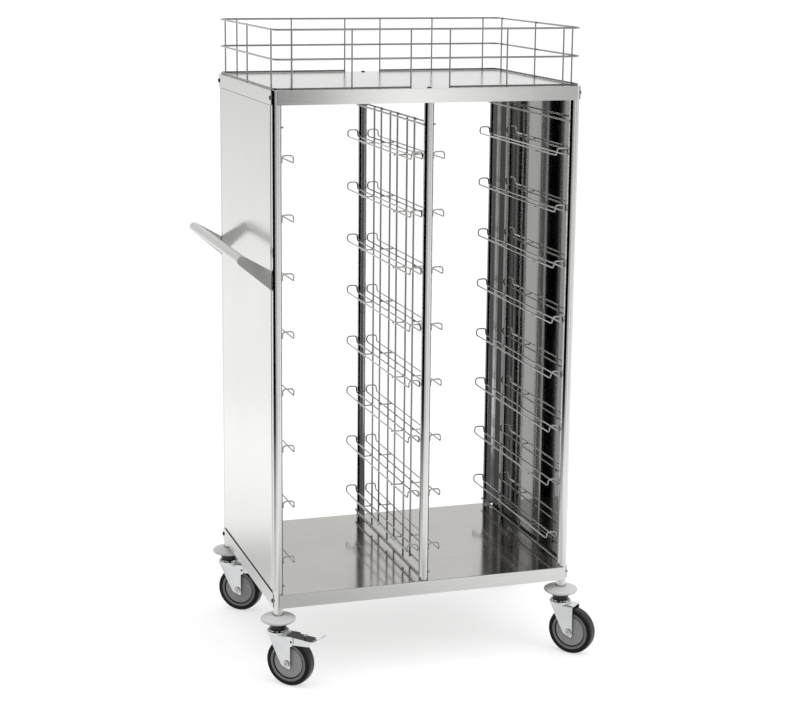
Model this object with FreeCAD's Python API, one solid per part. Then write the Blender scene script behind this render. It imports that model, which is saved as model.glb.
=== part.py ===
import FreeCAD, Part
import math
import os

from FreeCAD import Vector

# Tray trolley: two bays of wire tray supports between round posts, two folded decks,
# a wire gallery on top, a push handle on the left and four swivel casters.
# Millimetres, +Z up, front towards -Y, floor at Z = 0.

# Decks
deck_width = 800.0
deck_depth = 596.0
deck_sheet = 1.5
flange_drop = 35.0
fold_radius = 2.0
deck_corner_radius = 14.0
floor_rise = 55.0
bay_height = 1262.0

# Posts
post_diameter = 25.0
post_wall = 1.5
post_side_gap = 0.5
post_front_gap = 4.0
post_hole_gap = 0.3

# Side panels
panel_sheet = 1.2
panel_return = 20.0
panel_gap = 0.3
panel_foot_gap = 3.0
panel_head_gap = 2.0

# Wires, pins, bores and small discs are many-sided, since there are hundreds of them
wire_sides = 6
cross_wire_sides = 4
pin_sides = 8
disc_sides = 24
weld_gap = 0.05
running_gap = 0.08

# Wire grids
grid_wire = 5.0
grid_post_gap = 0.1
grid_pitch = 140.0
grid_head = 89.0
grid_foot = 19.0
grid_rail_lap = 4.0
grid_upright_lap = 5.0

# Tray supports
level_count = 8
lowest_level = 76.0
head_room = 175.0
support_wire = 4.0
support_reach = 28.5
support_setback = 3.0
arch_rise = 18.0

# Gallery
rail_wire = 5.0
upright_wire = 4.0
rail_inset = 6.0
rail_corner_radius = 20.0
rail_corner_steps = 3
middle_rail_height = 73.0
top_rail_height = 143.0
gallery_break = 100.0
upright_corner_inset = 45.0

# Handle
handle_diameter = 25.0
handle_wall = 1.5
handle_reach = 74.5
handle_rise = 853.0
bracket_sheet = 4.0
bracket_drop = 78.0
bracket_foot = 50.0

# Screws
screw_head_diameter = 11.0
screw_head_height = 2.5
screw_sides = 6

# Casters
bumper_diameter = 90.0
bumper_thickness = 18.0
bumper_underside = 37.0
bumper_rim_low = 6.0
bumper_rim_high = 9.5
bumper_crown = 15.0
stem_gap = 0.1
stem_length = 20.0
neck_diameter = 44.0
neck_height = 21.6
king_pin_diameter = 12.0
rivet_diameter = 20.0
rivet_height = 4.0
race_gap = 0.4
cup_diameter = 57.6
cup_height = 6.0
crown_clearance = 6.0
fork_sheet = 3.0
cheek_lead = 24.0
cheek_nose = 15.0
cheek_nose_drop = 6.5
cheek_tail = 10.0
cheek_tip_drop = 15.5
wheel_diameter = 125.0
wheel_width = 32.0
wheel_trail = 36.0
hub_diameter = 83.0
hub_inset = 2.0
hub_play = 0.3
tyre_gap = 0.05
axle_diameter = 12.0
axle_collar = 22.0
axle_head = 19.0
axle_head_sides = 6
axle_head_height = 5.0
rest_yaw = {"front_left": -44.0, "front_right": -48.5, "rear_left": -38.0, "rear_right": -42.0}
braked = ("front_left", "rear_left")

# Brake pedals
pedal_sheet = 1.8
pedal_clearance = 1.2
pedal_play = 0.4
pedal_cup_gap = 2.2
pedal_length = 64.0
pedal_rise = 9.0
pedal_fall = 4.5
pedal_wall_end = 14.0
pivot_offset = 13.0
pivot_drop = 3.4
pivot_diameter = 5.0
ear_margin = 5.0
ear_drop = 9.0
tongue_width = 22.0
tongue_sheet = 2.0
tongue_overhang = 6.0
tongue_toe = 27.0
tongue_rise = 12.5
lug_width = 9.0
lug_rise = 5.0
lug_offset = 40.0
slot_gap = 0.4
shoe_offset = 32.0
shoe_gap = 4.7

# Heights, from the floor up
axle_height = wheel_diameter / 2
crown_low = wheel_diameter + crown_clearance
crown_top = crown_low + fork_sheet
cup_top = crown_top + cup_height
neck_low = cup_top + race_gap
bumper_low = neck_low + neck_height
post_foot = bumper_low + bumper_thickness
floor_height = post_foot + floor_rise
deck_height = floor_height + bay_height
post_top = deck_height - deck_sheet
level_pitch = (bay_height - lowest_level - head_room) / (level_count - 1)
handle_height = floor_height + handle_rise

# Places across the trolley
post_radius = post_diameter / 2
post_bore = post_radius - post_wall
post_x = deck_width / 2 - deck_sheet - post_side_gap - post_radius
post_y = deck_depth / 2 - deck_sheet - post_front_gap - post_radius
corners = {
    "front_left": (-post_x, -post_y),
    "front_right": (post_x, -post_y),
    "rear_left": (-post_x, post_y),
    "rear_right": (post_x, post_y),
}
rail_x = deck_width / 2 - rail_inset
rail_y = deck_depth / 2 - rail_inset
handle_x = -(post_x + post_radius + handle_reach)

# Places on a caster, whose swivel axis is at X = Y = 0 and whose wheel trails towards +X
pedal_inner = wheel_width / 2 + pedal_clearance
pedal_outer = pedal_inner + pedal_sheet
cheek_inner = pedal_outer + pedal_play
cheek_outer = cheek_inner + fork_sheet
pivot_x = wheel_trail + pivot_offset
pivot_height = wheel_diameter - pivot_drop
pedal_start = cup_diameter / 2 + pedal_cup_gap
pedal_end = wheel_trail + pedal_length
pedal_top = wheel_diameter + pedal_rise

along_x = Vector(1, 0, 0)
along_y = Vector(0, 1, 0)
along_z = Vector(0, 0, 1)


def box(low, high):
    size = [b - a for a, b in zip(low, high)]
    return Part.makeBox(size[0], size[1], size[2], Vector(*low))


def rod(radius, start, length, axis):
    return Part.makeCylinder(radius, length, Vector(*start), axis)


def prism(points, push):
    outline = Part.makePolygon([Vector(*p) for p in points + points[:1]])
    return Part.Face(outline).extrude(push)


def bar(radius, start, length, axis, sides=pin_sides):
    # many-sided rod; radius reaches to its corners
    side = along_x if axis.cross(along_x).Length > 0.5 else along_z
    other = axis.cross(side)
    points = []
    for k in range(sides):
        a = 2 * math.pi * (k + 0.5) / sides
        points.append(Vector(*start) + (side * math.cos(a) + other * math.sin(a)) * radius)
    return Part.Face(Part.makePolygon(points + points[:1])).extrude(axis * length)


def around(radius, gap, sides=pin_sides):
    # radius of a many-sided bore whose flats clear a rod of the given radius all the way round
    return (radius + gap) / math.cos(math.pi / sides)


def skin(rings, closed=False):
    # flat faces from each ring of points to the next; the ends are capped unless closed
    count = len(rings[0][0])
    faces = []
    for near, far in rings:
        for k in range(count):
            n = (k + 1) % count
            faces.append(Part.Face(Part.makePolygon([near[k], near[n], far[n], far[k], near[k]])))
    if not closed:
        for end in (rings[0][0], rings[-1][1]):
            faces.append(Part.Face(Part.makePolygon(end + end[:1])))
    shell = Part.Shell(faces)
    shell.sewShape()
    solid = Part.Solid(shell)
    if solid.Volume < 0:
        solid.reverse()
    return solid


def ring(radius, z, sides):
    points = []
    for k in range(sides):
        a = 2 * math.pi * (k + 0.5) / sides
        points.append(Vector(radius * math.cos(a), radius * math.sin(a), z))
    return points


def rounded_path(points, radius, steps, closed):
    path = []
    count = len(points)
    for i, corner in enumerate(points):
        if not closed and i in (0, count - 1):
            path.append(corner)
            continue
        before = (points[i - 1] - corner).normalize()
        after = (points[(i + 1) % count] - corner).normalize()
        half = before.getAngle(after) / 2
        centre = corner + (before + after).normalize() * (radius / math.sin(half))
        first = corner + before * (radius / math.tan(half)) - centre
        last = corner + after * (radius / math.tan(half)) - centre
        sweep = first.getAngle(last)
        for k in range(steps + 1):
            a = sweep * k / steps
            turn = first * (math.sin(sweep - a) / math.sin(sweep))
            turn = turn + last * (math.sin(a) / math.sin(sweep))
            path.append(centre + turn)
    return path


def wire_radius(diameter, sides=wire_sides):
    # centre to a corner of the many-sided wire section
    return diameter / 2 / math.cos(math.pi / sides)


def wire_run(path, diameter, flat, closed=False, sides=wire_sides):
    # A wire through the points of path with mitred joints; flat points to a face of its section.
    count = len(path)
    runs = count if closed else count - 1
    heads = [(path[(i + 1) % count] - path[i]).normalize() for i in range(runs)]
    side = heads[0].cross(flat)
    reach = wire_radius(diameter, sides)
    offsets = []
    for k in range(sides):
        a = 2 * math.pi * (k + 0.5) / sides
        offsets.append((flat * math.cos(a) + side * math.sin(a)) * reach)

    def cut_at(place, offset, head, plane):
        return place + offset - head * (offset.dot(plane) / head.dot(plane))

    rings = []
    for i, head in enumerate(heads):
        start_plane = head + heads[i - 1] if closed or i else head
        end_plane = head + heads[(i + 1) % runs] if closed or i < runs - 1 else head
        end = path[(i + 1) % count]
        near = [cut_at(path[i], o, head, start_plane) for o in offsets]
        far = [cut_at(end, o, head, end_plane) for o in offsets]
        rings.append((near, far))
        follow = heads[(i + 1) % runs]
        offsets = [(f - end) - follow * (f - end).dot(follow) for f in far]
    return skin(rings, closed)


def screw_head(seat, inward):
    # seat: centre of the head's seat; inward: the way the screw points
    start = seat - inward * (screw_head_height + weld_gap)
    return bar(screw_head_diameter / 2, start, screw_head_height, inward, screw_sides)


def corner_screw_places():
    places = []
    for x, y in corners.values():
        out = math.copysign(1, x)
        for top in (floor_height, deck_height):
            seat = Vector(out * deck_width / 2, y, top - flange_drop / 2)
            places.append((seat, along_x * -out))
    return places


def centre_screw_places():
    places = []
    for y in (-post_y, post_y):
        places.append((Vector(0, y, deck_height), along_z * -1))
        places.append((Vector(0, y, floor_height - deck_sheet), along_z))
    return places


def folded_edge(edge, half_span, top):
    # the fold and flange along the +X side of a deck whose outer face is at edge
    low = top - flange_drop
    inside = edge - deck_sheet
    back = edge - fold_radius
    down = top - fold_radius
    lean = fold_radius * math.sqrt(0.5)

    def at(x, z):
        return Vector(x, -half_span, z)

    fold = Part.Arc(at(back, top), at(back + lean, down + lean), at(edge, down)).toShape()
    under = top - deck_sheet
    flange = Part.makePolygon([
        at(edge, down),
        at(edge, low),
        at(inside, low),
        at(inside, under),
        at(back, under),
        at(back, top),
    ])
    return Part.Face(Part.Wire([fold] + flange.Edges)).extrude(along_y * 2 * half_span)


def deck(top, covered_corners):
    half_x = deck_width / 2
    half_y = deck_depth / 2
    flat_x = half_x - deck_corner_radius
    flat_y = half_y - deck_corner_radius
    under = top - deck_sheet
    sheet = box((-half_x + fold_radius, -flat_y, under), (half_x - fold_radius, flat_y, top))
    pieces = [box((-flat_x, -half_y + fold_radius, under), (flat_x, half_y - fold_radius, top))]
    for angle in (0, 180):
        for turn, edge, span in ((0, half_x, flat_y), (90, half_y, flat_x)):
            flange = folded_edge(edge, span, top)
            flange.rotate(Vector(0, 0, 0), along_z, angle + turn)
            pieces.append(flange)
    if covered_corners:
        for x in (-flat_x, flat_x):
            for y in (-flat_y, flat_y):
                pieces.append(rod(deck_corner_radius, (x, y, under), deck_sheet, along_z))
    return sheet.fuse(pieces).removeSplitter()


def top_deck():
    return deck(deck_height, True)


def bottom_deck():
    # the corners are open: each post passes through a cut in the sheet and shows its outer quarter
    sheet = deck(floor_height, False)
    reach = around(post_radius, post_hole_gap, disc_sides)
    under = floor_height - deck_sheet
    cuts = []
    for x, y in corners.values():
        cuts.append(bar(reach, (x, y, under), deck_sheet, along_z, disc_sides))
    return sheet.cut(cuts)


def tube(radius, wall, start, length, axis):
    return rod(radius, start, length, axis).cut(bar(radius - wall, start, length, axis))


def corner_post(x, y):
    return tube(post_radius, post_wall, (x, y, post_foot), post_top - post_foot, along_z)


def centre_post(y):
    return tube(post_radius, post_wall, (0, y, floor_height), post_top - floor_height, along_z)


def side_panel(out):
    face = deck_width / 2 - deck_sheet - panel_gap
    edge = post_y - post_radius - panel_gap
    low = floor_height + panel_foot_gap
    high = post_top - panel_head_gap
    xs = sorted((out * face, out * (face - panel_return)))
    hollow = sorted((out * (face - panel_sheet), out * (face - 2 * panel_return)))
    shell = box((xs[0], -edge, low), (xs[1], edge, high))
    inside = edge - panel_sheet
    return shell.cut(box((hollow[0], -inside, low - 1), (hollow[1], inside, high + 1)))


def rail_axis(post, bay):
    return post + bay * (post_radius + grid_post_gap + grid_wire / 2)


def upright_axis(post, bay):
    return rail_axis(post, bay) - bay * (grid_wire + weld_gap)


def grid(post, bay):
    # bay: +1 or -1, the side of the post on which the trays slide
    low = floor_height + grid_foot
    high = deck_height - grid_head
    reach = post_y + grid_rail_lap
    wires = []
    for z in (low, high):
        path = [Vector(rail_axis(post, bay), y, z) for y in (-reach, reach)]
        wires.append(wire_run(path, grid_wire, along_x))
    for k in (-1, 0, 1):
        ends = (low - grid_upright_lap, high + grid_upright_lap)
        path = [Vector(upright_axis(post, bay), k * grid_pitch, z) for z in ends]
        wires.append(wire_run(path, grid_wire, along_x))
    return Part.makeCompound(wires)


def tray_supports(post, bay):
    inner = upright_axis(post, bay) + bay * ((grid_wire + support_wire) / 2 + weld_gap)
    outer = inner + bay * support_reach
    half = post_y - support_setback
    drop = wire_radius(support_wire) + support_wire / 2 + weld_gap
    wires = []
    for level in range(level_count):
        z = floor_height + lowest_level + level * level_pitch
        peak = z + arch_rise
        path = [
            Vector(inner, -half, z),
            Vector(inner, half, z),
            Vector(inner, half, peak),
            Vector(outer, half, peak),
            Vector(outer, half, z),
            Vector(outer, -half, z),
            Vector(outer, -half, peak),
            Vector(inner, -half, peak),
        ]
        wires.append(wire_run(path, support_wire, along_x, closed=True))
        for k in (-1, 1):
            ends = (inner - bay * support_wire / 2, outer + bay * support_wire / 2)
            path = [Vector(x, k * grid_pitch, z - drop) for x in ends]
            wires.append(wire_run(path, support_wire, along_z, sides=cross_wire_sides))
    return Part.makeCompound(wires)


def gallery_rail(height):
    z = deck_height + height
    path = [
        Vector(-rail_x, -rail_y, z),
        Vector(rail_x, -rail_y, z),
        Vector(rail_x, rail_y, z),
        Vector(-rail_x, rail_y, z),
    ]
    path = rounded_path(path, rail_corner_radius, rail_corner_steps, True)
    start = [p for p in path if abs(p.y + rail_y) < 0.01]
    turn = path.index(min(start, key=lambda p: p.x))
    path = path[turn:] + path[:turn]
    return wire_run(path, rail_wire, along_y, closed=True)


def gallery_lower_wires():
    z = deck_height + wire_radius(rail_wire) + weld_gap
    halves = []
    for s in (-1, 1):
        path = [
            Vector(s * gallery_break / 2, -rail_y, z),
            Vector(s * rail_x, -rail_y, z),
            Vector(s * rail_x, rail_y, z),
            Vector(s * gallery_break / 2, rail_y, z),
        ]
        path = rounded_path(path, rail_corner_radius, rail_corner_steps, False)
        halves.append(wire_run(path, rail_wire, along_y))
    return Part.makeCompound(halves)


def gallery_uprights():
    inset = (rail_wire + upright_wire) / 2 + weld_gap
    low = deck_height + weld_gap
    high = deck_height + top_rail_height + rail_wire / 2
    wires = []
    last_x = rail_x - upright_corner_inset
    last_y = rail_y - upright_corner_inset
    first_x = gallery_break / 2
    row = [first_x, (first_x + last_x) / 2, last_x]
    for y in (-rail_y + inset, rail_y - inset):
        for x in [-x for x in row] + row:
            wires.append(wire_run([Vector(x, y, low), Vector(x, y, high)], upright_wire, along_y))
    for x in (-rail_x + inset, rail_x - inset):
        for y in (-last_y, 0, last_y):
            wires.append(wire_run([Vector(x, y, low), Vector(x, y, high)], upright_wire, along_x))
    return Part.makeCompound(wires)


def handle_tube():
    half = post_y - bracket_sheet / 2 - weld_gap
    start = (handle_x, -half, handle_height)
    return tube(handle_diameter / 2, handle_wall, start, 2 * half, along_y)


def tangent_point(point, centre, radius, turn):
    # where a line from point touches the circle, on the side given by turn
    dx = point[0] - centre[0]
    dz = point[1] - centre[1]
    a = math.atan2(dz, dx) + turn * math.acos(radius / math.hypot(dx, dz))
    return centre[0] + radius * math.cos(a), centre[1] + radius * math.sin(a)


def handle_bracket(y):
    # a plate that tapers from its foot on the post to the rounded end over the tube
    radius = handle_diameter / 2
    foot_x = -(post_x + post_radius + weld_gap)
    centre = (handle_x, handle_height)
    low = (foot_x, handle_height - bracket_drop)
    high = (foot_x, handle_height - bracket_drop + bracket_foot)
    touch_low = tangent_point(low, centre, radius, -1)
    touch_high = tangent_point(high, centre, radius, 1)
    face_y = y - bracket_sheet / 2

    def at(p):
        return Vector(p[0], face_y, p[1])

    away = (touch_low[0] + touch_high[0] - 2 * centre[0], touch_low[1] + touch_high[1] - 2 * centre[1])
    size = math.hypot(*away)
    end = (centre[0] - radius * abs(away[0]) / size, centre[1] + radius * abs(away[1]) / size)
    edges = [
        Part.makeLine(at(low), at(high)),
        Part.makeLine(at(high), at(touch_high)),
        Part.Arc(at(touch_high), at(end), at(touch_low)).toShape(),
        Part.makeLine(at(touch_low), at(low)),
    ]
    return Part.Face(Part.Wire(edges)).extrude(along_y * bracket_sheet)


def bumper_disc():
    edge = bumper_diameter / 2
    profile = [
        (bumper_underside, bumper_low),
        (edge, bumper_low + bumper_rim_low),
        (edge, bumper_low + bumper_rim_high),
        (bumper_crown, post_foot),
    ]
    rings = [ring(radius, z, disc_sides) for radius, z in profile]
    disc = skin(list(zip(rings, rings[1:])))
    return disc.cut(bar(post_bore, (0, 0, bumper_low), bumper_thickness, along_z))


def caster_stem():
    # plug in the post, neck under the bumper, king pin through the fork and its rivet
    neck = bar(neck_diameter / 2, (0, 0, neck_low), neck_height, along_z, disc_sides)
    plug = bar(post_bore - stem_gap, (0, 0, bumper_low), bumper_thickness + stem_length, along_z)
    rivet_low = crown_low - race_gap - rivet_height
    pin = bar(king_pin_diameter / 2, (0, 0, rivet_low), neck_low - rivet_low, along_z)
    rivet = bar(rivet_diameter / 2, (0, 0, rivet_low), rivet_height, along_z)
    return neck.fuse([plug, pin, rivet]).removeSplitter()


def cheek_outline(with_brake):
    # side view of the fork: straight tail, slanted nose and, with a brake, an ear for the pedal
    tail = wheel_trail + cheek_tail
    low = axle_height - cheek_tip_drop
    nose = (wheel_trail - cheek_nose, axle_height - cheek_nose_drop)
    outline = [nose, (-cheek_lead, crown_top)]
    if with_brake:
        ear = pivot_x + ear_margin
        ear_low = pivot_height - ear_drop
        outline += [(ear, crown_top), (ear, ear_low), (tail, ear_low - ear_margin)]
    else:
        outline += [(tail, crown_top)]
    return outline + [(tail, low)]


def fork(with_brake):
    # a folded channel cut to the cheeks' outline, with the bearing cup on its crown
    outline = cheek_outline(with_brake)
    reach = max(x for x, z in outline)
    low = min(z for x, z in outline)
    width = 2 * cheek_outer
    blank = prism([(x, -cheek_outer, z) for x, z in outline], along_y * width)
    inner = box((-2 * cheek_lead, -cheek_inner, low - 1), (reach + 1, cheek_inner, crown_low))
    cup = bar(cup_diameter / 2, (0, 0, crown_low), cup_top - crown_low, along_z, disc_sides)
    body = blank.cut(inner).fuse(cup).removeSplitter()
    pin_bore = around(king_pin_diameter / 2, running_gap)
    axle_bore = around(axle_diameter / 2, running_gap)
    cuts = [
        bar(pin_bore, (0, 0, crown_low - 1), cup_top - crown_low + 2, along_z),
        bar(axle_bore, (wheel_trail, -width, axle_height), 2 * width, along_y),
    ]
    if with_brake:
        start = pedal_start - pedal_play
        pivot_bore = around(pivot_diameter / 2, running_gap)
        cuts.append(box((start, -cheek_inner, crown_low - 1), (reach + 1, cheek_inner, crown_top + 1)))
        cuts.append(bar(pivot_bore, (pivot_x, -width, pivot_height), 2 * width, along_y))
    return body.cut(cuts)


def axle_bolt():
    # shank through the hub, a collar each side of it and a head outside each cheek
    reach = cheek_outer + weld_gap
    tip = reach + axle_head_height
    hub_face = wheel_width / 2 - hub_inset + hub_play
    collar = cheek_inner - weld_gap - hub_face

    def part(diameter, start, length, sides=pin_sides):
        return bar(diameter / 2, (wheel_trail, start, axle_height), length, along_y, sides)

    shank = part(axle_diameter, -tip, 2 * tip)
    return shank.fuse([
        part(axle_collar, -hub_face - collar, collar, axle_head_sides),
        part(axle_collar, hub_face, collar, axle_head_sides),
        part(axle_head, -tip, axle_head_height, axle_head_sides),
        part(axle_head, reach, axle_head_height, axle_head_sides),
    ]).removeSplitter()


def hub():
    # many-sided, so that the tyre cannot creep round it
    face = wheel_width / 2 - hub_inset
    start = (wheel_trail, -face, axle_height)
    disc = bar(hub_diameter / 2, start, 2 * face, along_y, disc_sides)
    return disc.cut(bar(around(axle_diameter / 2, running_gap), start, 2 * face, along_y))


def tyre():
    start = (wheel_trail, -wheel_width / 2, axle_height)
    ring = rod(wheel_diameter / 2, start, wheel_width, along_y)
    bore = hub_diameter / 2 + around(0, tyre_gap, disc_sides)
    return ring.cut(bar(bore, start, wheel_width, along_y, disc_sides))


def pedal_line(x, below=0.0):
    # height of the pedal's sloping top face, or of a face below it
    slope = pedal_fall / (pedal_end - pedal_start)
    return pedal_top - (x - pedal_start) * slope - below


def brake_pedal():
    end = pedal_end
    ear_low = pivot_height - ear_drop
    outline = [
        (pedal_start, pedal_line(pedal_start)),
        (end, pedal_line(end)),
        (end, pedal_line(end, pedal_wall_end)),
        (pivot_x, ear_low),
        (pedal_start, pedal_line(pedal_start, pedal_sheet + pedal_play)),
    ]
    solid = prism([(x, -pedal_outer, z) for x, z in outline], along_y * 2 * pedal_outer)
    ceiling = [
        (pedal_start - 1, pedal_line(pedal_start - 1, pedal_sheet)),
        (end + 1, pedal_line(end + 1, pedal_sheet)),
        (end + 1, ear_low - 1),
        (pedal_start - 1, ear_low - 1),
    ]
    hollow = prism([(x, -pedal_inner, z) for x, z in ceiling], along_y * 2 * pedal_inner)
    solid = solid.cut(hollow)
    pivot = (pivot_x, -2 * pedal_outer, pivot_height)
    solid = solid.cut(bar(around(pivot_diameter / 2, running_gap), pivot, 4 * pedal_outer, along_y))
    slot_half = lug_width / 2 + slot_gap
    lug_x = wheel_trail + lug_offset
    slot_high = pedal_line(lug_x) + pedal_sheet
    slot_low = pedal_line(lug_x, 2 * pedal_sheet)
    slot_x = (lug_x - slot_gap, lug_x + tongue_sheet + slot_gap)
    slot = box((slot_x[0], -slot_half, slot_low), (slot_x[1], slot_half, slot_high))
    return solid.cut(slot)


def tyre_line(x):
    # height of the tread over a place beside the axle
    return axle_height + math.sqrt(axle_height ** 2 - (x - wheel_trail) ** 2)


def brake_tongue():
    # a bent strip under the pedal: shoe towards the tyre, lug through the slot, tip for the toe
    seat = pedal_sheet + weld_gap
    below = seat + tongue_sheet
    start = wheel_trail + shoe_offset
    bend = pedal_end + tongue_overhang
    tip = bend + tongue_toe
    shoe_low = tyre_line(start) + shoe_gap
    outline = [
        (start, pedal_line(start, seat)),
        (bend, pedal_line(bend, seat)),
        (tip, pedal_top + tongue_rise),
        (tip, pedal_top + tongue_rise - tongue_sheet),
        (bend + tongue_sheet / 2, pedal_line(bend, below)),
        (start + tongue_sheet, pedal_line(start + tongue_sheet, below)),
        (start + tongue_sheet, shoe_low),
        (start, shoe_low),
    ]
    strip = prism([(x, -tongue_width / 2, z) for x, z in outline], along_y * tongue_width)
    lug_x = wheel_trail + lug_offset
    lug_low = pedal_line(lug_x, below)
    lug_high = pedal_line(lug_x) + lug_rise
    lug = box((lug_x, -lug_width / 2, lug_low), (lug_x + tongue_sheet, lug_width / 2, lug_high))
    return strip.fuse(lug).removeSplitter()


def pedal_pins():
    length = cheek_outer - pedal_inner
    pins = []
    for start in (-cheek_outer, pedal_inner):
        pins.append(bar(pivot_diameter / 2, (pivot_x, start, pivot_height), length, along_y))
    return Part.makeCompound(pins)


def at_corner(shape, corner, yaw=0.0):
    x, y = corners[corner]
    placed = shape.copy()
    placed.rotate(Vector(0, 0, 0), along_z, yaw)
    placed.translate(Vector(x, y, 0))
    return placed


def build_frame(nodes):
    nodes["top_deck"] = top_deck()
    nodes["bottom_deck"] = bottom_deck()
    for corner, (x, y) in corners.items():
        nodes["corner_post_" + corner] = corner_post(x, y)
    nodes["centre_post_front"] = centre_post(-post_y)
    nodes["centre_post_rear"] = centre_post(post_y)
    nodes["side_panel_left"] = side_panel(-1)
    nodes["side_panel_right"] = side_panel(1)
    rows = {"left": (-post_x, 1), "centre_left": (0, -1), "centre_right": (0, 1), "right": (post_x, -1)}
    for name, (post, bay) in rows.items():
        nodes["grid_" + name] = grid(post, bay)
        nodes["tray_supports_" + name] = tray_supports(post, bay)
    nodes["gallery_top_rail"] = gallery_rail(top_rail_height)
    nodes["gallery_middle_rail"] = gallery_rail(middle_rail_height)
    nodes["gallery_lower_wires"] = gallery_lower_wires()
    nodes["gallery_uprights"] = gallery_uprights()
    nodes["handle_tube"] = handle_tube()
    nodes["handle_bracket_front"] = handle_bracket(-post_y)
    nodes["handle_bracket_rear"] = handle_bracket(post_y)
    for name, places in (("deck_screws", corner_screw_places()), ("centre_screws", centre_screw_places())):
        nodes[name] = Part.makeCompound([screw_head(seat, inward) for seat, inward in places])


def build_casters(nodes):
    nodes["bumper_discs"] = Part.makeCompound([at_corner(bumper_disc(), c) for c in corners])
    nodes["caster_stems"] = Part.makeCompound([at_corner(caster_stem(), c) for c in corners])
    for corner, yaw in rest_yaw.items():
        nodes["fork_" + corner] = at_corner(fork(corner in braked), corner, yaw)
        nodes["axle_bolt_" + corner] = at_corner(axle_bolt(), corner, yaw)
        nodes["hub_" + corner] = at_corner(hub(), corner, yaw)
        nodes["tyre_" + corner] = at_corner(tyre(), corner, yaw)
    for corner in braked:
        yaw = rest_yaw[corner]
        nodes["pedal_pins_" + corner] = at_corner(pedal_pins(), corner, yaw)
        nodes["brake_pedal_" + corner] = at_corner(brake_pedal(), corner, yaw)
        nodes["brake_tongue_" + corner] = at_corner(brake_tongue(), corner, yaw)


nodes = {}
build_frame(nodes)
build_casters(nodes)

# The origin goes to the middle of the bottom of the whole trolley
extent = Part.makeCompound(list(nodes.values())).optimalBoundingBox(False, False)
origin = Vector(extent.Center.x, extent.Center.y, extent.ZMin)
print("origin moved by", -origin.x, -origin.y, -origin.z)
print("size", extent.XLength, extent.YLength, extent.ZLength)

os.makedirs("parts", exist_ok=True)
for name, shape in nodes.items():
    shape.translate(origin * -1)
    shape.exportStep("parts/" + name + ".step")
print(len(nodes), "nodes written")
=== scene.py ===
import math

import bmesh
import bpy
from mathutils import Matrix, Vector


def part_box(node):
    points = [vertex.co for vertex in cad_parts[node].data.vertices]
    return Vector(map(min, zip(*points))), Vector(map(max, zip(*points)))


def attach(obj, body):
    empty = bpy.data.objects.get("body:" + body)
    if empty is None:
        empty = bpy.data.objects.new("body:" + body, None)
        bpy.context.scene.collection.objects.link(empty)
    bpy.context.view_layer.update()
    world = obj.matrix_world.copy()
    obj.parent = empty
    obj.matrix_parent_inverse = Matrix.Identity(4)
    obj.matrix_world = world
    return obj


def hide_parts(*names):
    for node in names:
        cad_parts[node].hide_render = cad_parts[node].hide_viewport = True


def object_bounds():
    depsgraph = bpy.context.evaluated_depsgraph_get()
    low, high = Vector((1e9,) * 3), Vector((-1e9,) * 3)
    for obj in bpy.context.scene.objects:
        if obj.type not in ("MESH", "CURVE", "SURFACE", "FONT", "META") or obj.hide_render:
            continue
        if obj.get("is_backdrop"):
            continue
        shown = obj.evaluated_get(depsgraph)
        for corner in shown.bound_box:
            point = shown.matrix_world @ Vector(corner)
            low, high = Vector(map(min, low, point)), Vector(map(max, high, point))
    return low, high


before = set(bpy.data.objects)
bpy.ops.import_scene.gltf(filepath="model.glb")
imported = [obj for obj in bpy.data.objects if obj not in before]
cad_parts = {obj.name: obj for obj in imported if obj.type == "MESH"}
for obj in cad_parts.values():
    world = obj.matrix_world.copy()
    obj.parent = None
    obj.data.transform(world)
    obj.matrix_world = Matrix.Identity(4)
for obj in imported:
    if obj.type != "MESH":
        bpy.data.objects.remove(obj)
cadLow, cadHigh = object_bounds()
scene = bpy.context.scene
mm = 0.001
quarter = math.pi / 2
weldGap = 0.05
nearby = 0.01       # how close counts as the same place
levelFrom = 0.9     # a face is level when its normal rises above this
foldFrom = 1.0      # a fold turns by more than this angle in radians
print("solids loaded:", len(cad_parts))

# Places that the pieces share, read from the solids. Sizes below are in millimetres from
# the middle of the trolley, with the front towards -Y and the floor at zero.
deckLow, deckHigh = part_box("top_deck")
home = Vector(((deckLow.x + deckHigh.x) / 2, (deckLow.y + deckHigh.y) / 2, 0))
corners = ("front_left", "front_right", "rear_left", "rear_right")
braked = ("front_left", "rear_left")
ends = ("front", "rear")
rows = ("left", "centre_left", "centre_right", "right")


def boxOf(node):
    low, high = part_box(node)
    return (low - home) / mm, (high - home) / mm


def middleOf(node):
    low, high = boxOf(node)
    return (low + high) / 2


def moveBy(x, y, z):
    return Matrix.Translation((x, y, z))


def turnBy(angle, axis):
    return Matrix.Rotation(angle, 4, axis)


halfWidth, halfDepth, deckTop = boxOf("top_deck")[1]
floorTop = boxOf("bottom_deck")[1].z
postAt = {c: middleOf("corner_post_" + c) for c in corners}
postLow, postHigh = boxOf("corner_post_front_left")
postRadius = (postHigh.x - postLow.x) / 2
onTrolley = Matrix.Translation(home)
wheelTrail = (middleOf("hub_front_right") - postAt["front_right"]).to_2d().length
axleHeight = middleOf("hub_front_right").z


def casterPlace(corner):
    # swivel axis at the origin, wheel trailing towards +X, floor at zero
    wheel = middleOf("hub_" + corner) - postAt[corner]
    foot = Vector((postAt[corner].x, postAt[corner].y, 0)) * mm
    return Matrix.Translation(home + foot) @ turnBy(math.atan2(wheel.y, wheel.x), "Z")


grainSpan = (0.3, 0.7)      # the part of its range that the noise fills


def newFinish(name):
    finish = bpy.data.materials.new(name)
    finish.use_nodes = True
    return finish, finish.node_tree


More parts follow.
